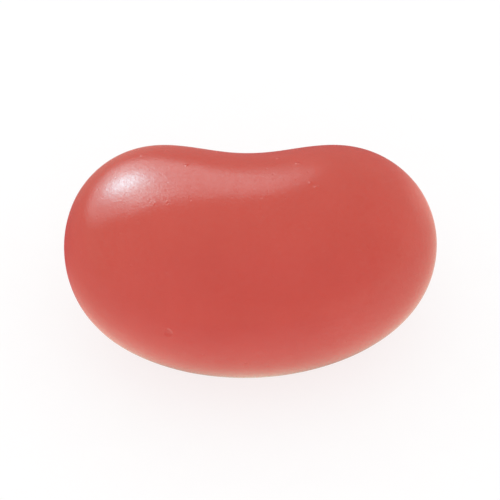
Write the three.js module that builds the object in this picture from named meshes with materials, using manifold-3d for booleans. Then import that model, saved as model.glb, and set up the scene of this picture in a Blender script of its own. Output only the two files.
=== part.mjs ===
// Jelly bean: one sugar-shelled kidney-shaped sweet, lying on its side.
//
// Units are millimetres, +Z is up. X runs along the bean, Y across it with the
// dent facing +Y and the full belly facing -Y, Z through its thickness. The
// origin is under the middle of the bean, on the small flat it rests on.
//
// The body is a ball that is drawn out along X. At each station u along the
// bean, from -1 at one tip to +1 at the other, the section is an ellipse with
// a half width, a half thickness and a centre of its own. The dent makes the
// section narrower in the middle and pushes its centre towards the belly, which
// bends the bean and leaves a lobe at each end.

import * as THREE from 'three';
import { mergeVertices } from 'three/addons/utils/BufferGeometryUtils.js';
import Module from 'manifold-3d';

// ---- driving dimensions ----

const LENGTH = 16.0; // tip to tip
const WIDTH = 12.02; // width the middle would have without the dent
const THICKNESS = 9.0; // across the flat sides

// How full the plan outline is between the middle and the tips: 1 at the middle,
// with odd terms making one end a little slimmer than the other.
const PLAN_FULLNESS = [-0.055, 0.156, -0.053, 0.089];
const SIDE_FULLNESS = 0.3; // the same for the thickness, equal at both ends

const DENT_DEPTH = 1.99; // width that the dent takes out of the middle
const DENT_CENTRE = -0.0145; // where it is along the bean, in half lengths
const DENT_SPREAD = 0.487; // how far it reaches along the bean, in half lengths

const BELLY_BOW = 0.137; // bend of the whole bean towards the belly
const END_SKEW = 0.065; // how far one tip lies nearer the dent side

const FLAT_DEPTH = 0.2; // taken off the lowest point, so that the bean rests

const SUBDIVISION = 15; // of each face of the starting icosahedron

const SHELL_COLOUR = 0xc9554b; // coral red sugar shell

// ---- the shape as functions of the station u ----

const dent = (u) => Math.exp(-(((u - DENT_CENTRE) / DENT_SPREAD) ** 2));

const halfWidth = (u) => {
  const [a, b, c, d] = PLAN_FULLNESS;
  const fullness = 1 + a * u + b * u ** 2 + c * u ** 3 + d * u ** 4;
  return (WIDTH / 2) * Math.sqrt(fullness) - (DENT_DEPTH / 2) * dent(u);
};

const halfThickness = (u) => (THICKNESS / 2) * Math.sqrt(1 + SIDE_FULLNESS * u ** 2);

const centreLine = (u) => END_SKEW * u - BELLY_BOW * (1 - u ** 2) - (DENT_DEPTH / 2) * dent(u);

// ---- the body ----

function bodyGeometry() {
  const geometry = new THREE.IcosahedronGeometry(1, SUBDIVISION);
  geometry.deleteAttribute('normal');
  geometry.deleteAttribute('uv');
  const merged = mergeVertices(geometry, 1e-5);
  const position = merged.attributes.position;
  const point = new THREE.Vector3();
  for (let i = 0; i < position.count; i++) {
    point.fromBufferAttribute(position, i).normalize();
    const u = point.x;
    position.setXYZ(
      i,
      (LENGTH / 2) * u,
      centreLine(u) + halfWidth(u) * point.y,
      halfThickness(u) * point.z,
    );
  }
  return merged;
}

// ---- the resting flat ----

const wasm = await Module();
wasm.setup();

function toSolid(geometry) {
  return new wasm.Manifold(
    new wasm.Mesh({
      numProp: 3,
      vertProperties: new Float32Array(geometry.attributes.position.array),
      triVerts: new Uint32Array(geometry.index.array),
    }),
  );
}

function toGeometry(solid) {
  const mesh = solid.getMesh();
  const geometry = new THREE.BufferGeometry();
  geometry.setAttribute('position', new THREE.BufferAttribute(new Float32Array(mesh.vertProperties), 3));
  geometry.setIndex(new THREE.BufferAttribute(new Uint32Array(mesh.triVerts), 1));
  return geometry;
}

// A block whose top face is the level that the bean is cut at.
function cuttingBlock(level) {
  const depth = 4;
  const block = new THREE.BoxGeometry(LENGTH, 2 * WIDTH, depth);
  block.deleteAttribute('normal');
  block.deleteAttribute('uv');
  const merged = mergeVertices(block, 1e-5);
  merged.translate(0, 0, level - depth / 2);
  return merged;
}

const restLevel = -THICKNESS / 2 + FLAT_DEPTH;
const solid = toSolid(bodyGeometry()).subtract(toSolid(cuttingBlock(restLevel)));
const beanGeometry = toGeometry(solid);

// The origin goes under the middle of the bean, on the flat.
beanGeometry.computeBoundingBox();
const { min, max } = beanGeometry.boundingBox;
beanGeometry.translate(-(min.x + max.x) / 2, -(min.y + max.y) / 2, -min.z);
beanGeometry.computeVertexNormals();

const bean = new THREE.Mesh(
  beanGeometry,
  new THREE.MeshStandardMaterial({ color: SHELL_COLOUR, roughness: 0.35, metalness: 0 }),
);
bean.name = 'bean';

const jellyBean = new THREE.Group();
jellyBean.add(bean);

export default jellyBean;
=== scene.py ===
"""Looks of one jelly bean: a coral red sugar-shelled sweet on a plain pale floor.

Everything is in metres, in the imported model's frame: X along the bean, +Y towards
its dent, +Z up, with the origin on the floor under the middle of the bean.
"""

import math
import random

import bmesh
import bpy
import numpy as np
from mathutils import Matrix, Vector, noise


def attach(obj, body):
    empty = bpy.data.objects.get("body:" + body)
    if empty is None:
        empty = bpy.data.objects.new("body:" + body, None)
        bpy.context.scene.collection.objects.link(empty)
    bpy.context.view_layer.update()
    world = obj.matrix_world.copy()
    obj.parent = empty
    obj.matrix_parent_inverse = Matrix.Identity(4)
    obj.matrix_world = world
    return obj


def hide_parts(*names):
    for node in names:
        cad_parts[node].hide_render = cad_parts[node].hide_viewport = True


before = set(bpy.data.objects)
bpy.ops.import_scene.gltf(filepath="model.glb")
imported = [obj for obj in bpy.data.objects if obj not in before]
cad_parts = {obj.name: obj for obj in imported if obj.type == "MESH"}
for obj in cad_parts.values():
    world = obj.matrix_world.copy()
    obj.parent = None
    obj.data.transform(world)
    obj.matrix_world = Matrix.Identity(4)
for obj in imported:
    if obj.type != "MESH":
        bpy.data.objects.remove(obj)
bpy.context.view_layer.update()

MM = 0.001

# ---------------------------------------------------------------- the bean's sizes, mm
LENGTH = 16.0
WIDTH = 12.02
THICKNESS = 9.0
PLAN_FULLNESS = (-0.055, 0.156, -0.053, 0.089)
SIDE_FULLNESS = 0.3
DENT_DEPTH = 1.99
DENT_CENTRE = -0.0145
DENT_SPREAD = 0.487
BELLY_BOW = 0.137
END_SKEW = 0.065
FLAT_DEPTH = 0.2

GRID = 100  # quads along each edge of the starting cube

# Small faults in the shell: the way to each from the middle of the starting sphere,
# its radius and depth in mm (a negative depth stands proud), how much longer it is
# than wide, and the angle that it is turned by.
FAULTS = [
    ((-0.4342, -0.8778, 0.2023), 0.165, 0.034, 1.2, 0.5),
    ((-0.3400, 0.3320, 0.8797), 0.060, -0.021, 1.2, 0.3),
    ((-0.5081, -0.0965, 0.8559), 0.036, -0.007, 2.3, 2.5),
    ((-0.5840, 0.4464, 0.6780), 0.055, -0.016, 1.5, 0.5),
    ((-0.4552, 0.5211, 0.7220), 0.055, -0.016, 1.3, 0.0),
    ((0.3196, 0.0979, 0.9425), 0.060, -0.024, 1.3, 1.2),
    ((0.3514, 0.0478, 0.9350), 0.065, -0.026, 1.4, 2.4),
    ((0.5105, -0.1327, 0.8496), 0.032, -0.010, 1.2, 0.2),
    ((0.2514, 0.3810, 0.8897), 0.060, -0.018, 1.4, 0.1),
    ((0.1449, 0.5232, 0.8398), 0.055, -0.025, 1.4, 0.2),
    ((-0.9010, -0.2491, 0.3552), 0.040, -0.012, 1.3, 1.0),
    ((-0.0261, -0.9920, -0.1235), 0.045, 0.020, 1.5, 0.0),
    ((-0.2490, -0.9685, -0.0030), 0.035, 0.014, 1.3, 0.4),
    ((0.3875, -0.8899, 0.2408), 0.030, 0.010, 1.2, 0.0),
    ((0.5058, -0.8626, -0.0088), 0.030, 0.010, 1.2, 0.0),
]


def dent(u):
    return np.exp(-(((u - DENT_CENTRE) / DENT_SPREAD) ** 2))


def half_width(u):
    a, b, c, d = PLAN_FULLNESS
    full = 1 + a * u + b * u**2 + c * u**3 + d * u**4
    return WIDTH / 2 * np.sqrt(full) - DENT_DEPTH / 2 * dent(u)


def half_thickness(u):
    return THICKNESS / 2 * np.sqrt(1 + SIDE_FULLNESS * u**2)


def centre_line(u):
    return END_SKEW * u - BELLY_BOW * (1 - u**2) - DENT_DEPTH / 2 * dent(u)


def body(s):
    """Points of the bean's skin, in mm, for unit vectors s."""
    u = s[:, 0]
    return np.stack(
        [
            LENGTH / 2 * u,
            centre_line(u) + half_width(u) * s[:, 1],
            half_thickness(u) * s[:, 2],
        ],
        1,
    )


def plan_shift():
    """How far the bean moves along Y so that its box is centred on the origin."""
    u = np.linspace(-1, 1, 4001)
    r = np.sqrt(1 - u**2)
    high = (centre_line(u) + half_width(u) * r).max()
    low = (centre_line(u) - half_width(u) * r).min()
    return -(high + low) / 2


SHIFT = np.array([0.0, plan_shift(), THICKNESS / 2 - FLAT_DEPTH])


# ---------------------------------------------------------------- the skin as a mesh
def cube_sphere(n):
    """A unit sphere of 6 n² quads, spread evenly by angle."""
    bm = bmesh.new()
    bmesh.ops.create_cube(bm, size=2.0)
    bmesh.ops.subdivide_edges(bm, edges=bm.edges[:], cuts=n - 1, use_grid_fill=True)
    for v in bm.verts:
        v.co = Vector([math.tan(c * math.pi / 4) for c in v.co]).normalized()
    return bm


def all_faults():
    """The faults above, and some more of their kind round the back and underneath."""
    rng = random.Random(11)
    faults = [(Vector(way).normalized(), *rest) for way, *rest in FAULTS]
    while len(faults) < len(FAULTS) + 26:
        way = Vector([rng.gauss(0, 1) for _ in range(3)]).normalized()
        radius = rng.uniform(0.028, 0.060)
        depth = radius * rng.uniform(0.25, 0.50) * rng.choice((1, 1, -1))
        rest = (radius, depth, rng.uniform(1.1, 1.9), rng.uniform(0, math.pi))
        if way.dot(Vector((0, -0.643, 0.766))) < -0.12 and way.z > -0.93:
            faults.append((way, *rest))
    return faults


def refine(bm, faults):
    """Makes the mesh finer round each fault, so that it has a shape of its own."""
    centres = body(np.array([way for way, *_ in faults]))
    for margin in (0.20, 0.09, 0.04):
        bm.verts.ensure_lookup_table()
        s = np.array([v.co for v in bm.verts])
        s /= np.linalg.norm(s, axis=1)[:, None]
        p = body(s)
        near = np.zeros(len(p), bool)
        for c, (_, radius, _, longer, _) in zip(centres, faults):
            near |= np.linalg.norm(p - c, axis=1) < radius * longer * 1.9 + margin
        edges = [e for e in bm.edges if near[e.verts[0].index] and near[e.verts[1].index]]
        bmesh.ops.subdivide_edges(bm, edges=edges, cuts=1, use_grid_fill=True, use_single_edge=True)
        bm.verts.index_update()
    bm.normal_update()


def frame_at(s):
    """Two ways along the skin and the outward normal, at the unit vectors s."""
    h = 1e-4
    ref = np.where(np.abs(s[:, [2]]) < 0.9, [[0.0, 0.0, 1.0]], [[0.0, 1.0, 0.0]])
    a = np.cross(ref, s)
    a /= np.linalg.norm(a, axis=1)[:, None]
    b = np.cross(s, a)

    def at(q):
        return body(q / np.linalg.norm(q, axis=1)[:, None])

    t1, t2 = at(s + h * a) - at(s - h * a), at(s + h * b) - at(s - h * b)
    n = np.cross(t1, t2)
    n /= np.linalg.norm(n, axis=1)[:, None]
    t1 /= np.linalg.norm(t1, axis=1)[:, None]
    return t1, np.cross(n, t1), n


def make_bean():
    faults = all_faults()
    bm = cube_sphere(GRID)
    refine(bm, faults)
    me = bpy.data.meshes.new("jelly_bean")
    bm.to_mesh(me)
    bm.free()
    s = np.empty(len(me.vertices) * 3)
    me.vertices.foreach_get("co", s)
    s = s.reshape(-1, 3)
    s /= np.linalg.norm(s, axis=1)[:, None]
    p = body(s)
    nrm = frame_at(s)[2]

    # the shell's own unevenness: slow swells and a finer orange peel
    swell = np.array([noise.fractal(Vector(q) * 0.32, 0.6, 2.1, 2) for q in p])
    peel = np.array([noise.fractal(Vector(q) * 2.2 + Vector((7, 3, 1)), 0.7, 2.0, 2) for q in p])
    lift = 0.008 * swell + 0.0015 * peel

    # pits with a low rim, and grains that stand proud
    for way, radius, depth, longer, turn in faults:
        c = np.array(way)[None]
        t1, t2, _ = frame_at(c)
        d = p - body(c)
        near = np.linalg.norm(d, axis=1) < radius * longer * 2.6
        x, y = d[near] @ t1[0], d[near] @ t2[0]
        x, y = x * math.cos(turn) + y * math.sin(turn), y * math.cos(turn) - x * math.sin(turn)
        r = np.hypot(x / longer, y) / radius
        w = np.arctan2(y, x)
        r = r * (1 + 0.13 * np.sin(2 * w + 9 * depth / radius) + 0.09 * np.sin(3 * w + 40 * radius))
        hole = np.exp(-(r ** (2.2 if radius < 0.1 else 4.0)))
        rim = np.exp(-(((r - 1.25) / 0.38) ** 2)) * (0.24 if depth > 0 else 0.0)
        lift[near] += depth * (rim - hole)
    p = p + nrm * lift[:, None] + SHIFT

    # it rests on a small flat
    low = p[:, 2] < 0
    p[low, 2] = 0.0
    me.vertices.foreach_set("co", (p * MM).ravel())
    me.update()
    me.polygons.foreach_set("use_smooth", np.ones(len(me.polygons), bool))
    ob = bpy.data.objects.new("jelly_bean", me)
    bpy.context.scene.collection.objects.link(ob)
    return ob


# ---------------------------------------------------------------- materials
class Graph:
    def __init__(self, mat):
        mat.use_nodes = True
        self.tree = mat.node_tree
        self.tree.nodes.clear()

    def node(self, kind, **props):
        inputs = props.pop("inputs", {})
        n = self.tree.nodes.new(kind)
        for k, v in props.items():
            setattr(n, k, v)
        for k, v in inputs.items():
            if isinstance(v, bpy.types.NodeSocket):
                self.tree.links.new(v, n.inputs[k])
            else:
                n.inputs[k].default_value = v
        return n


def shell_material():
    mat = bpy.data.materials.new("sugar_shell")
    g = Graph(mat)
    where = g.node("ShaderNodeTexCoord").outputs["Object"]

    def cloud(size_mm, detail=2.0, rough=0.5, at=where):
        return g.node(
            "ShaderNodeTexNoise",
            inputs={"Vector": at, "Scale": 1000.0 / size_mm, "Detail": detail, "Roughness": rough},
        ).outputs["Fac"]

    def maths(kind, a, b):
        return g.node("ShaderNodeMath", operation=kind, inputs={0: a, 1: b}).outputs["Value"]

    # the dye took a little unevenly
    blotch = g.node("ShaderNodeValToRGB", inputs={"Fac": cloud(2.6, 3.0)})
    ramp = blotch.color_ramp
    ramp.elements[0].position, ramp.elements[0].color = 0.30, (0.557, 0.0680, 0.0516, 1)
    ramp.elements[1].position, ramp.elements[1].color = 0.70, (0.580, 0.0745, 0.0572, 1)

    rough = g.node(
        "ShaderNodeMapRange",
        inputs={"Value": cloud(0.35, 3.0), "From Min": 0.3, "From Max": 0.7, "To Min": 0.11, "To Max": 0.16},
    ).outputs["Result"]

    # fine sugar grain, the larger grain that it lies on, and polishing marks
    rubbed = g.node(
        "ShaderNodeMapping",
        inputs={"Vector": where, "Rotation": (0.0, 0.0, math.radians(-38)), "Scale": (0.22, 1.0, 1.0)},
    ).outputs["Vector"]
    grain = maths("MULTIPLY", cloud(0.11, 3.0, 0.70), 0.45)
    coarse = maths("MULTIPLY", cloud(0.24, 2.0, 0.5), 0.15)
    marks = maths("MULTIPLY", cloud(0.12, 1.0, 0.5, rubbed), 0.15)
    height = maths("ADD", maths("ADD", grain, coarse), marks)

    # pinholes: small dents in some of the cells of a fine random mesh
    cells = g.node("ShaderNodeTexVoronoi", inputs={"Vector": where, "Scale": 1000.0 / 0.25, "Randomness": 1.0})
    dent = g.node(
        "ShaderNodeMapRange",
        interpolation_type="SMOOTHSTEP",
        inputs={"Value": cells.outputs["Distance"], "From Min": 0.0, "From Max": 0.30, "To Min": 1.0, "To Max": 0.0},
    ).outputs["Result"]
    pick = g.node("ShaderNodeSeparateColor", inputs={"Color": cells.outputs["Color"]}).outputs["Red"]
    some = g.node(
        "ShaderNodeMapRange",
        inputs={"Value": pick, "From Min": 0.50, "From Max": 1.0, "To Min": 0.0, "To Max": 0.60},
    ).outputs["Result"]
    height = maths("SUBTRACT", height, maths("MULTIPLY", dent, some))
    bump = g.node(
        "ShaderNodeBump",
        inputs={"Strength": 1.0, "Distance": 0.0000105, "Height": height},
    ).outputs["Normal"]

    # the wax polish lies a little unevenly over the sugar
    wax = g.node(
        "ShaderNodeMapRange",
        inputs={"Value": cloud(0.115, 2.0, 0.8), "From Min": 0.35, "From Max": 0.65, "To Min": 0.25, "To Max": 0.65},
    ).outputs["Result"]

    shader = g.node(
        "ShaderNodeBsdfPrincipled",
        inputs={
            "Base Color": blotch.outputs["Color"],
            "Roughness": rough,
            "IOR": 1.47,
            "Specular IOR Level": 0.25,
            "Normal": bump,
            "Coat Weight": wax,
            "Coat Roughness": 0.14,
            "Coat IOR": 1.5,
            "Coat Normal": bump,
            "Subsurface Weight": 0.35,
            "Subsurface Radius": (1.0, 0.30, 0.20),
            "Subsurface Scale": 0.0006,
        },
    )
    out = g.node("ShaderNodeOutputMaterial")
    g.tree.links.new(shader.outputs["BSDF"], out.inputs["Surface"])
    return mat


def floor_material():
    mat = bpy.data.materials.new("pale_floor")
    g = Graph(mat)
    where = g.node("ShaderNodeTexCoord").outputs["Object"]
    grain = g.node("ShaderNodeTexNoise", inputs={"Vector": where, "Scale": 900.0, "Detail": 2.0}).outputs["Fac"]
    ramp = g.node("ShaderNodeValToRGB", inputs={"Fac": grain})
    ramp.color_ramp.elements[0].color = (0.215, 0.215, 0.215, 1)
    ramp.color_ramp.elements[1].color = (0.230, 0.230, 0.230, 1)
    # painted pool of light: the floor glows of itself, most strongly in the middle and fainter further out, which
    # also pales its shadows
    far = g.node("ShaderNodeVectorMath", operation="LENGTH", inputs={0: where}).outputs["Value"]
    lit = g.node(
        "ShaderNodeMapRange",
        interpolation_type="SMOOTHSTEP",
        inputs={"Value": far, "From Min": 0.020, "From Max": 0.160, "To Min": 0.78, "To Max": 0.59},
    ).outputs["Result"]
    shader = g.node(
        "ShaderNodeBsdfPrincipled",
        inputs={
            "Base Color": ramp.outputs["Color"],
            "Roughness": 0.9,
            "Specular IOR Level": 0.1,
            "Emission Color": (1.0, 1.0, 1.0, 1.0),
            "Emission Strength": lit,
        },
    )
    out = g.node("ShaderNodeOutputMaterial")
    g.tree.links.new(shader.outputs["BSDF"], out.inputs["Surface"])
    return mat


# ---------------------------------------------------------------- stage, lights, camera
def link(name, me):
    ob = bpy.data.objects.new(name, me)
    bpy.context.scene.collection.objects.link(ob)
    return ob


def make_floor():
    """A round floor, whose edge sweeps up into a backdrop that only the camera sees."""
    bm = bmesh.new()
    bmesh.ops.create_circle(bm, cap_ends=True, segments=180, radius=0.45)
    me = bpy.data.meshes.new("floor")
    bm.to_mesh(me)
    bm.free()
    floor = link("floor", me)
    turn = np.radians(np.arange(0, 90.1, 5))
    r = np.concatenate([0.45 + 0.15 * np.sin(turn), [0.60]])
    z = np.concatenate([0.15 - 0.15 * np.cos(turn), [0.50]])
    r, a = np.meshgrid(r, np.radians(np.arange(0, 360, 2)), indexing="ij")
    points = np.stack([r * np.sin(a), r * np.cos(a), z[:, None] + 0 * a], -1).reshape(-1, 3)
    sweep = grid_mesh("backdrop", points, *r.shape)
    sweep.data.polygons.foreach_set("use_smooth", np.ones(len(sweep.data.polygons), bool))
    sweep.visible_diffuse = sweep.visible_transmission = sweep.visible_shadow = False
    material = floor_material()
    for ob in (floor, sweep):
        ob.data.materials.append(material)
        ob.visible_glossy = False  # what the shell mirrors is the studio below


def toward(azimuth, elevation):
    """Unit vector to a place in the room: azimuth 0 is +Y, 90 is +X."""
    a, e = math.radians(azimuth), math.radians(elevation)
    return np.array([math.sin(a) * math.cos(e), math.cos(a) * math.cos(e), math.sin(e)])


def step(x):
    """A soft step from 0 to 1 about x = 0."""
    return 1 / (1 + np.exp(-np.clip(x, -40, 40)))


# The softbox behind the bean on the left, as seen from the bean: which way its
# middle lies, its edges (the angle that each faces, from the right anticlockwise,
# and how far out it is at unit distance) and how soft they are.
BOX_WAY = (-27.0, 22.0)
BOX_EDGES = (
    (8.7, 0.605),
    (91.9, 0.532),
    (127.3, 0.587),
    (159.3, 0.618),
    (-141.8, 0.665),
    (-83.7, 0.485),
    (-35.6, 0.416),
)
BOX_EDGE = 0.085
BOX_GLOW = (1.586, 0.235, 0.720)  # in the middle, and more of it to the right and up
BOX_TINT = (0.86, 1.007, 1.046)
# Its lamp sits a little to the left of its middle, with a paler patch round it:
# where, how wide and high, how it is turned, and how bright.
LAMP = (-0.115, -0.030, 0.132, 0.098, 34.6, 7.20)
LAMP_TINT = (0.405, 1.005, 1.157)
HALO = (-0.128, 0.110, 0.151, 0.282, 12.3, 4.20)
HALO_TINT = (0.503, 1.018, 1.056)
# The polished table carries the softbox's glow on below the horizon: how strongly,
# and the height in mm that it is seen from.
POOL = (1.00, 6.29)
# The rest of the room, pale all round, with a white wall low on the right and
# darker behind the bean.
ROOM_GLOW = (0.985, -0.083, 0.357, -0.192)
WALL = (79.7, -1.4, 46.8, 13.2, 0.90)
SHADE = (14.7, -25.9, 59.7, 40.7)
SHADE_DEPTH = (0.740, 0.929, 0.912)
ROOM_TINT = (1.12, 0.976, 0.78)
FRONT_TINT = (1.08, 0.985, 0.90)  # in front of the bean
WALL_TINT = (0.86, 0.985, 0.79)
# The table, which is in shade under the bean and behind it on the left.
TABLE_GLOW = (0.825, -0.310, 0.531, -1.220)
TABLE_SHADE = (-65.0, -23.8, 24.4, 16.0)
TABLE_SHADE_DEPTH = (0.570, 0.885, 0.850)
TABLE_TINT = (1.164, 0.990, 0.80)
TABLE_LIT = (  # where the table is brighter
    (48.5, -11.5, 8.9, 14.0, 1.10),
    (117.9, -22.5, 40.0, 19.5, 0.52),
    (175.3, -49.0, 16.6, 7.6, 2.30),
)
TABLE_BLUSH = (180.0, -16.0, 90.0, 17.0)  # and where it is a cooler pink
CONTACT = (3.35, 3.67, 0.22)
EYE = 4.4  # height above the table that its glow is described from, mm


def about(d, azimuth, elevation):
    """The parts of directions d along a way in the room, to its right and up."""
    c = toward(azimuth, elevation)
    a = math.radians(azimuth)
    r = np.array([math.cos(a), -math.sin(a), 0.0])
    return d @ c, d @ r, d @ np.cross(r, c)


def patch(d, azimuth, elevation, wide, high):
    """A soft patch in the room, with its width and height in degrees."""
    k, x, y = about(d, azimuth, elevation)
    ang = np.degrees(np.arccos(np.clip(k, -1, 1)))
    l = np.hypot(x, y) + 1e-9
    return np.exp(-0.5 * ((ang * x / l / wide) ** 2 + (ang * y / l / high) ** 2))


def spot(x, y, x0, y0, wide, high, turn, glow):
    """A soft spot on the face of the softbox."""
    t = math.radians(turn)
    x, y = x - x0, y - y0
    x, y = x * math.cos(t) + y * math.sin(t), y * math.cos(t) - x * math.sin(t)
    return glow * np.exp(-0.5 * ((x / wide) ** 2 + (y / high) ** 2))


def box_glow(d):
    """What the softbox shows in directions d."""
    k, x, y = about(d, *BOX_WAY)
    x, y = x / np.maximum(k, 0.05), y / np.maximum(k, 0.05)
    face = (k > 0.05) * 1.0
    for angle, far in BOX_EDGES:
        t = math.radians(angle)
        face = face * step((far - x * math.cos(t) - y * math.sin(t)) / BOX_EDGE * 2)
    cloth = np.array([noise.noise(Vector(q) * 15.0) for q in d])  # its cloth is a little uneven
    plain = np.clip(BOX_GLOW[0] + BOX_GLOW[1] * x + BOX_GLOW[2] * y, 0, None) * (1 + 0.20 * cloth)
    return (
        np.outer(face * plain, BOX_TINT)
        + np.outer(face * spot(x, y, *LAMP), LAMP_TINT)
        + np.outer(face * spot(x, y, *HALO), HALO_TINT)
    )


def room_glow(d):
    front = step((-0.25 - d[:, 1]) * 12)[:, None]
    rest = np.clip(ROOM_GLOW[0] + d @ np.array(ROOM_GLOW[1:]), 0, None)[:, None]
    rest = rest * (np.array(ROOM_TINT) * (1 - front) + np.array(FRONT_TINT) * front)
    rest += np.outer(WALL[4] * patch(d, *WALL[:4]), WALL_TINT)
    return box_glow(d) + rest * (1 - np.outer(patch(d, *SHADE), SHADE_DEPTH))


def table_glow(x, y):
    r = np.hypot(x, y)
    d = np.stack([x, y, 0 * x - EYE], -1) / np.sqrt(r**2 + EYE**2)[:, None]
    glow = np.outer(np.clip(TABLE_GLOW[0] + d @ np.array(TABLE_GLOW[1:]), 0, None), TABLE_TINT)
    for *where, lit in (WALL, *TABLE_LIT):
        glow += np.outer(lit * patch(d, *where), WALL_TINT)
    glow += np.outer(patch(d, *TABLE_BLUSH), (0.0, 0.06, 0.21))
    near, reach, least = CONTACT
    glow *= 1 - (1 - least) * np.exp(-((np.clip(r - near, 0, None) / reach) ** 2))[:, None]
    shade = (1 - np.outer(patch(d, *SHADE), SHADE_DEPTH)) * (1 - np.outer(patch(d, *TABLE_SHADE), TABLE_SHADE_DEPTH))
    pool = np.stack([x, y, 0 * x - POOL[1]], -1) / np.hypot(r, POOL[1])[:, None]
    return glow * shade + POOL[0] * box_glow(pool)


def mirrored_only(ob, glow):
    """Makes ob a studio surface that shows only in the gloss of the shell."""
    at = ob.data.attributes.new("glow", "FLOAT_COLOR", "POINT")
    rgba = np.concatenate([glow, np.ones((len(glow), 1))], 1)
    at.data.foreach_set("color", rgba.astype(np.float32).ravel())
    mat = bpy.data.materials.new(ob.name)
    g = Graph(mat)
    mat.cycles.emission_sampling = "NONE"
    seen = g.node("ShaderNodeAttribute", attribute_name="glow")
    out = g.node("ShaderNodeOutputMaterial")
    shader = g.node("ShaderNodeEmission", inputs={"Color": seen.outputs["Color"], "Strength": 1.0})
    g.tree.links.new(shader.outputs["Emission"], out.inputs["Surface"])
    ob.data.materials.append(mat)
    ob.visible_camera = ob.visible_diffuse = ob.visible_transmission = False
    ob.visible_volume_scatter = ob.visible_shadow = False


def grid_mesh(name, points, rows, cols):
    """A sheet of quads over rows by cols points, closed round the columns."""
    i, j = np.meshgrid(np.arange(rows - 1), np.arange(cols), indexing="ij")
    k = (j + 1) % cols
    quads = np.stack([i * cols + j, i * cols + k, (i + 1) * cols + k, (i + 1) * cols + j], -1).reshape(-1, 4)
    me = bpy.data.meshes.new(name)
    me.from_pydata(points.tolist(), [], quads.tolist())
    return link(name, me)


def make_room():
    el, az = np.meshgrid(np.radians(np.linspace(-2, 89.9, 150)), np.radians(np.arange(0, 360, 1.2)), indexing="ij")
    d = np.stack([np.sin(az) * np.cos(el), np.cos(az) * np.cos(el), np.sin(el)], -1).reshape(-1, 3)
    room = grid_mesh("studio_room", d * 0.8, *el.shape)
    mirrored_only(room, room_glow(d))
    r, a = np.meshgrid(np.concatenate([[1e-3], np.geomspace(1, 800, 110)]), np.radians(np.arange(0, 360, 2)), indexing="ij")
    x, y = (r * np.sin(a)).ravel(), (r * np.cos(a)).ravel()
    table = grid_mesh("studio_table", np.stack([x, y, x * 0 - 0.02], 1) * MM, *r.shape)
    mirrored_only(table, table_glow(x, y))


def soft_light(name, azimuth, elevation, distance, width, height, radiance):
    """An area light facing the bean, whose face has the given radiance."""
    data = bpy.data.lights.new(name, "AREA")
    data.shape = "ELLIPSE"
    data.size, data.size_y = width, height
    data.energy = radiance * math.pi * width * height * math.pi / 4
    ob = bpy.data.objects.new(name, data)
    d = Vector(toward(azimuth, elevation))
    ob.location = d * distance + Vector((0, 0, 0.0045))
    ob.rotation_mode = "QUATERNION"
    ob.rotation_quaternion = d.to_track_quat("Z", "Y")
    ob.visible_camera = ob.visible_glossy = False
    bpy.context.scene.collection.objects.link(ob)


def make_world():
    world = bpy.data.worlds.new("room")
    bpy.context.scene.world = world
    world.use_nodes = True
    bg = world.node_tree.nodes["Background"]
    bg.inputs["Color"].default_value = (1.0, 1.0, 1.0, 1)
    bg.inputs["Strength"].default_value = 1.02
    world.cycles_visibility.glossy = False


def make_camera():
    elevation = math.radians(50.0)
    right = Vector((1, 0, 0))
    up = Vector((0, math.sin(elevation), math.cos(elevation)))
    back = Vector((0, -math.cos(elevation), math.sin(elevation)))
    aim = Vector(SHIFT) * MM + right * (-0.0171 * MM) + up * (-0.2126 * MM)
    data = bpy.data.cameras.new("camera")
    data.sensor_width = 36.0
    data.lens = 503.3
    data.clip_start, data.clip_end = 0.01, 10.0
    cam = bpy.data.objects.new("camera", data)
    cam.location = aim + back * 0.300
    cam.rotation_mode = "QUATERNION"
    cam.rotation_quaternion = back.to_track_quat("Z", "Y")
    bpy.context.scene.collection.objects.link(cam)
    bpy.context.scene.camera = cam


make_camera()
make_world()
make_floor()
make_room()
soft_light("window", -25, 40, 0.25, 0.20, 0.20, 0.1)
soft_light("fill", 180, 8, 0.25, 0.16, 0.13, 0.75)

bean = make_bean()
bean.data.materials.append(shell_material())
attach(bean, "root")
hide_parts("bean")

bpy.context.scene.view_settings.view_transform = "Standard"
bpy.context.scene.view_settings.look = "None"
